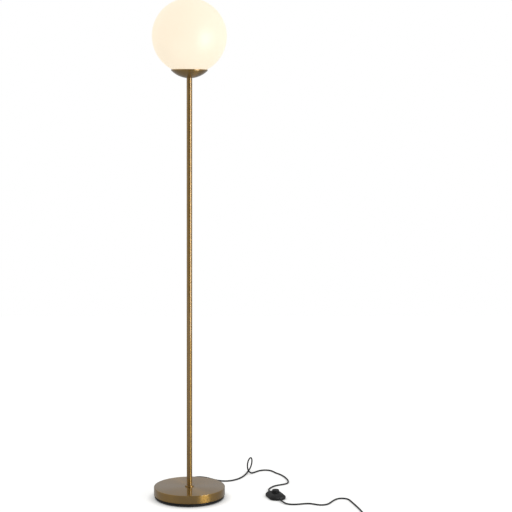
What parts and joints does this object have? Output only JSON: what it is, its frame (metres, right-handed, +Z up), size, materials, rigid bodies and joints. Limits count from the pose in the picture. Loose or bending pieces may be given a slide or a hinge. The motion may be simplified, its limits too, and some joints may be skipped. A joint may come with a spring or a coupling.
{
  "type": "globe floor lamp",
  "caption": "Floor lamp with an opal glass globe in a spun brass cup on a slim brass pole, a round weighted base, and a black lead with a foot switch and a plug.",
  "frame": {"origin": "centre of the base where it stands on the floor, on the axis of the pole", "axes": "+Z up along the pole to the globe; +Y to the back, where the lead leaves the base; +X to the right, where the foot switch lies"},
  "size_m": [0.7122, 0.6991, 1.704],
  "materials": {
    "opal_glass": "satin opal",
    "brushed_brass": "brushed antique brass, lacquered",
    "cast_iron": "as cast, painted",
    "zinc_steel": "zinc plated",
    "spring_steel": "spring temper",
    "silicone": "soft, matt",
    "phenolic": "moulded, semi-gloss",
    "contact_brass": "pressed",
    "wire_insulation": "smooth",
    "nickel": "nickel plated",
    "black_glass": "fused",
    "white_plastic": "moulded",
    "frosted_plastic": "frosted",
    "light_board": "white coated",
    "black_abs": "fine moulded texture",
    "foot_rubber": "matt",
    "black_pvc": "smooth, semi-matt",
    "tie_fabric": "woven"
  },
  "bodies": {
    "root": {"base_cover": "brushed_brass", "base_nipple": "zinc_steel", "base_nut": "zinc_steel", "base_tray": "black_abs", "base_washer": "zinc_steel", "base_weight": "cast_iron", "clamp_screws": "zinc_steel", "coil_tie": "tie_fabric", "cord_coil": "black_pvc", "cord_lamp_to_switch": "black_pvc", "cord_strain_relief": "black_pvc", "cord_switch_to_coil": "black_pvc", "cup": "brushed_brass", "cup_nut": "zinc_steel", "cup_washer": "zinc_steel", "foot_collar": "brushed_brass", "foot_pad": "foot_rubber", "globe_holder": "spring_steel", "globe_seat": "silicone", "lampholder_body": "phenolic", "lampholder_cap": "phenolic", "lampholder_contact": "contact_brass", "lampholder_shell": "contact_brass", "lampholder_terminals": "contact_brass", "lampholder_wires": "wire_insulation", "lead_clamp": "black_abs", "lead_in_pole": "black_pvc", "plug_blades": "nickel", "plug_body": "black_pvc", "pole_foot_plug_lower": "zinc_steel", "pole_foot_plug_middle": "zinc_steel", "pole_foot_plug_upper": "zinc_steel", "pole_head_plug_lower": "zinc_steel", "pole_head_plug_middle": "zinc_steel", "pole_head_plug_upper": "zinc_steel", "pole_lower": "brushed_brass", "pole_middle": "brushed_brass", "pole_upper": "brushed_brass", "switch_contacts": "contact_brass", "switch_cover": "black_abs", "switch_feet": "foot_rubber", "switch_plate": "black_abs", "switch_relief_front": "black_pvc", "switch_relief_rear": "black_pvc", "switch_screws": "zinc_steel", "switch_spring": "spring_steel", "switch_terminal_screws": "zinc_steel", "switch_wires": "wire_insulation", "top_nipple": "zinc_steel", "tray_screws": "zinc_steel"},
    "globe": {"globe": "opal_glass"},
    "bulb": {"bulb_tip": "nickel", "bulb_insulator": "black_glass", "bulb_cap": "nickel", "bulb_housing": "white_plastic", "bulb_light_board": "light_board", "bulb_dome": "frosted_plastic"},
    "button": {"switch_button": "black_abs", "switch_plunger": "black_abs", "switch_bridge": "contact_brass"}
  },
  "joints": [
    {"name": "switch_press", "type": "slide", "parent": "root", "child": "button", "axis": [0, 0, -1], "range_m": [0, 0.0035], "stiffness_N_per_m": 900, "springref_m": -0.002, "deforming": ["switch_spring"]},
    {"name": "globe_lift", "type": "slide", "parent": "root", "child": "globe", "axis": [0, 0, 1], "range_m": [0, 0.12]},
    {"name": "bulb_out", "type": "slide", "parent": "root", "child": "bulb", "axis": [0, 0, 1], "range_m": [0, 0.026]}
  ]
}
